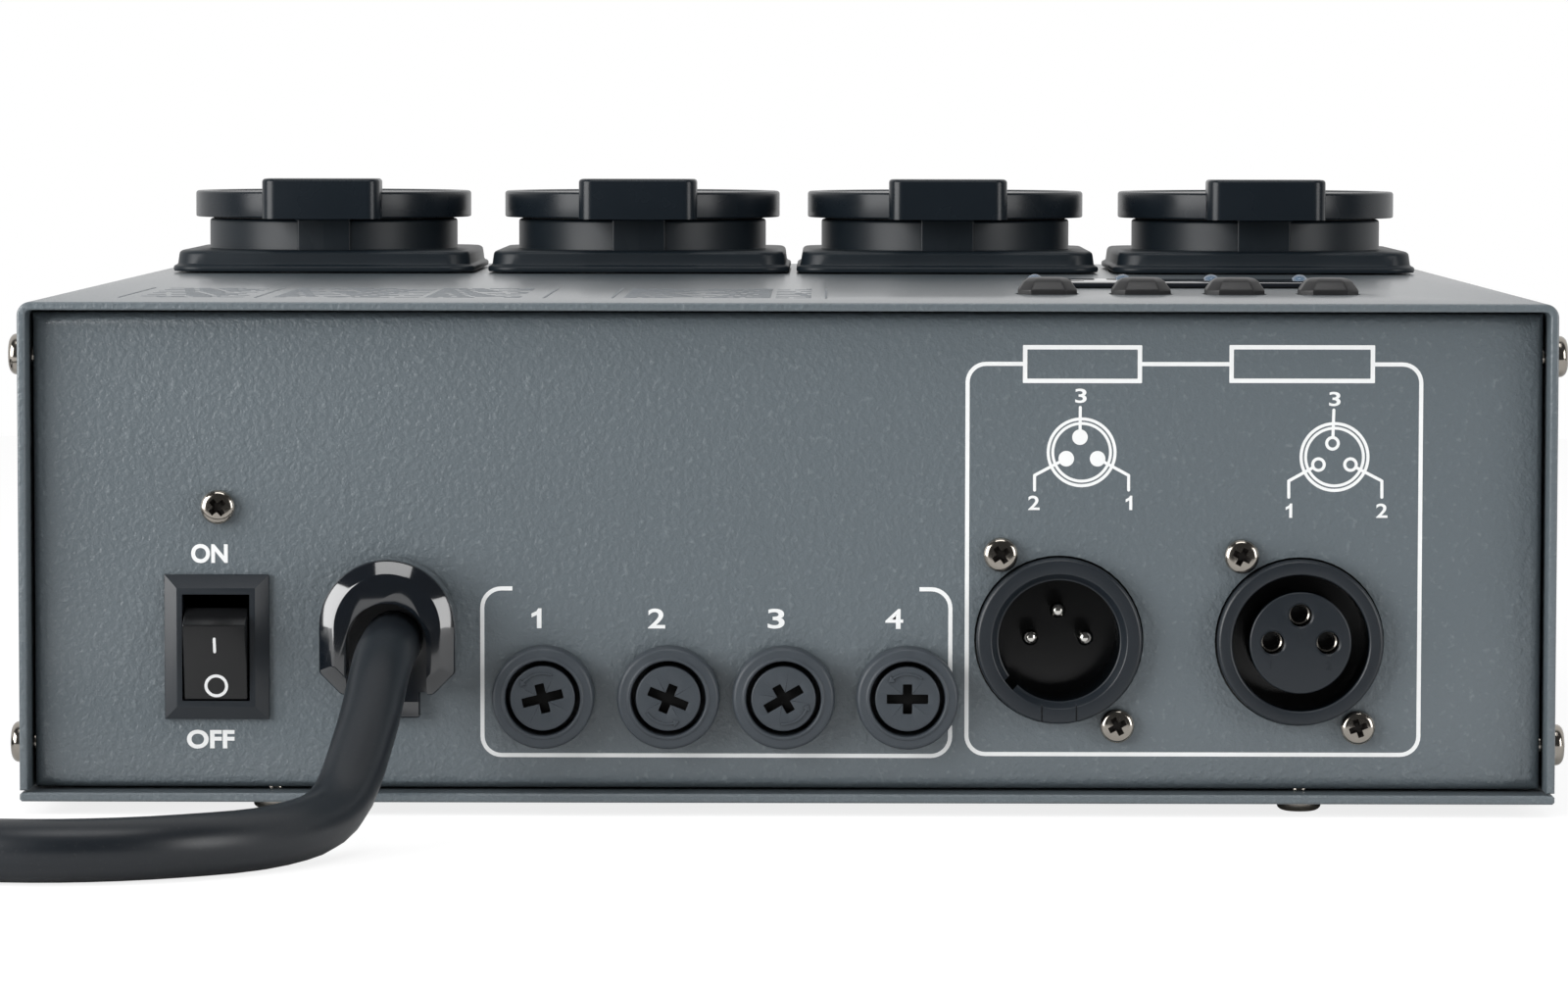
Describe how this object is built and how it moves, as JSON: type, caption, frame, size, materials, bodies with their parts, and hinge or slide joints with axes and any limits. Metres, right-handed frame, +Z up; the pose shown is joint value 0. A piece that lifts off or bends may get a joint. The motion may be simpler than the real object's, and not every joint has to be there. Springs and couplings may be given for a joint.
{
  "type": "dmx switch pack",
  "caption": "Four-channel DMX switch pack: folded steel box with four lidded mains sockets, a connector panel, four buttons and a coiled mains lead.",
  "frame": {"origin": "under the middle of the case, on the surface that the bottom screw heads stand on; the mains lead doesn't count", "axes": "+Z up out of the top with the sockets, +Y from the connector panel to the far end, +X to the right seen from the connector panel"},
  "size_m": [0.4108, 0.3019, 0.0906],
  "materials": {
    "powder_coat": "fine textured powder coat, dark blue-grey",
    "black_plastic": "moulded black plastic, half gloss",
    "black_rubber": "matt black cable rubber",
    "nickel": "nickel plated",
    "steel_pin": "drawn wire",
    "fuse_glass": "clear tube with metal ends",
    "dark_window": "dark display window",
    "circuit_board": "circuit board with its components"
  },
  "bodies": {
    "case": {"cover": "powder_coat", "bottom_plate": "powder_coat", "connector_panel": "powder_coat", "far_panel": "powder_coat", "control_board": "circuit_board", "power_board": "circuit_board", "display_window": "dark_window", "side_screw_1": "nickel", "side_screw_2": "nickel", "side_screw_3": "nickel", "side_screw_4": "nickel", "side_screw_5": "nickel", "side_screw_6": "nickel", "side_screw_7": "nickel", "side_screw_8": "nickel", "bottom_screw_1": "nickel", "bottom_screw_2": "nickel", "bottom_screw_3": "nickel", "bottom_screw_4": "nickel", "connector_screw_1": "nickel", "connector_screw_2": "nickel", "connector_screw_3": "nickel", "connector_screw_4": "nickel", "earth_screw": "nickel", "socket_1": "black_plastic", "socket_2": "black_plastic", "socket_3": "black_plastic", "socket_4": "black_plastic", "hinge_pin_1": "steel_pin", "hinge_pin_2": "steel_pin", "hinge_pin_3": "steel_pin", "hinge_pin_4": "steel_pin", "switch_housing": "black_plastic", "strain_relief": "black_plastic", "data_in_connector": "black_plastic", "data_out_connector": "black_plastic", "fuse_holder_1": "black_plastic", "fuse_holder_2": "black_plastic", "fuse_holder_3": "black_plastic", "fuse_holder_4": "black_plastic", "mains_lead": "black_rubber", "mains_coil": "black_rubber", "mains_plug": "black_rubber"},
    "lid_1": {"socket_lid_1": "black_plastic"},
    "lid_2": {"socket_lid_2": "black_plastic"},
    "lid_3": {"socket_lid_3": "black_plastic"},
    "lid_4": {"socket_lid_4": "black_plastic"},
    "rocker": {"switch_rocker": "black_plastic"},
    "key_1": {"button_1": "black_plastic"},
    "key_2": {"button_2": "black_plastic"},
    "key_3": {"button_3": "black_plastic"},
    "key_4": {"button_4": "black_plastic"},
    "fuse_1": {"fuse_link_1": "fuse_glass"},
    "fuse_2": {"fuse_link_2": "fuse_glass"},
    "fuse_3": {"fuse_link_3": "fuse_glass"},
    "fuse_4": {"fuse_link_4": "fuse_glass"},
    "fuse_knob_1": {"fuse_cap_1": "black_plastic"},
    "fuse_knob_2": {"fuse_cap_2": "black_plastic"},
    "fuse_knob_3": {"fuse_cap_3": "black_plastic"},
    "fuse_knob_4": {"fuse_cap_4": "black_plastic"}
  },
  "joints": [
    {"name": "lid_1_hinge", "type": "hinge", "parent": "case", "child": "lid_1", "pos_m": [-0.0802, 0.04281, 0.0861], "axis": [1, 0, 0], "range_deg": [0, 100], "stiffness_Nm_per_rad": 0.012, "springref_deg": -22.92},
    {"name": "lid_2_hinge", "type": "hinge", "parent": "case", "child": "lid_2", "pos_m": [-0.0264, 0.04281, 0.0861], "axis": [1, 0, 0], "range_deg": [0, 100], "stiffness_Nm_per_rad": 0.012, "springref_deg": -22.92},
    {"name": "lid_3_hinge", "type": "hinge", "parent": "case", "child": "lid_3", "pos_m": [0.0263, 0.04281, 0.0861], "axis": [1, 0, 0], "range_deg": [0, 100], "stiffness_Nm_per_rad": 0.012, "springref_deg": -22.92},
    {"name": "lid_4_hinge", "type": "hinge", "parent": "case", "child": "lid_4", "pos_m": [0.0803, 0.04281, 0.0861], "axis": [1, 0, 0], "range_deg": [0, 100], "stiffness_Nm_per_rad": 0.012, "springref_deg": -22.92},
    {"name": "rocker_pivot", "type": "hinge", "parent": "case", "child": "rocker", "pos_m": [-0.08284, -0.10199, 0.0243], "axis": [-1, 0, 0], "range_deg": [0, 28]},
    {"name": "button_1_press", "type": "slide", "parent": "case", "child": "key_1", "axis": [0, 0, -1], "range_m": [0, 0.0008], "stiffness_N_per_m": 1200, "springref_m": -0.0004},
    {"name": "button_2_press", "type": "slide", "parent": "case", "child": "key_2", "axis": [0, 0, -1], "range_m": [0, 0.0008], "stiffness_N_per_m": 1200, "springref_m": -0.0004},
    {"name": "button_3_press", "type": "slide", "parent": "case", "child": "key_3", "axis": [0, 0, -1], "range_m": [0, 0.0008], "stiffness_N_per_m": 1200, "springref_m": -0.0004},
    {"name": "button_4_press", "type": "slide", "parent": "case", "child": "key_4", "axis": [0, 0, -1], "range_m": [0, 0.0008], "stiffness_N_per_m": 1200, "springref_m": -0.0004},
    {"name": "fuse_1_pull", "type": "slide", "parent": "case", "child": "fuse_1", "axis": [0, -1, 0], "range_m": [0, 0.025]},
    {"name": "fuse_2_pull", "type": "slide", "parent": "case", "child": "fuse_2", "axis": [0, -1, 0], "range_m": [0, 0.025]},
    {"name": "fuse_3_pull", "type": "slide", "parent": "case", "child": "fuse_3", "axis": [0, -1, 0], "range_m": [0, 0.025]},
    {"name": "fuse_4_pull", "type": "slide", "parent": "case", "child": "fuse_4", "axis": [0, -1, 0], "range_m": [0, 0.025]},
    {"name": "fuse_cap_1_turn", "type": "hinge", "parent": "fuse_1", "child": "fuse_knob_1", "pos_m": [-0.03534, -0.10648, 0.0172], "axis": [0, -1, 0], "range_deg": [0, 90]},
    {"name": "fuse_cap_2_turn", "type": "hinge", "parent": "fuse_2", "child": "fuse_knob_2", "pos_m": [-0.01716, -0.10648, 0.0172], "axis": [0, -1, 0], "range_deg": [0, 90]},
    {"name": "fuse_cap_3_turn", "type": "hinge", "parent": "fuse_3", "child": "fuse_knob_3", "pos_m": [-0.00045, -0.10648, 0.0172], "axis": [0, -1, 0], "range_deg": [0, 90]},
    {"name": "fuse_cap_4_turn", "type": "hinge", "parent": "fuse_4", "child": "fuse_knob_4", "pos_m": [0.0175, -0.10648, 0.0172], "axis": [0, -1, 0], "range_deg": [0, 90]}
  ]
}
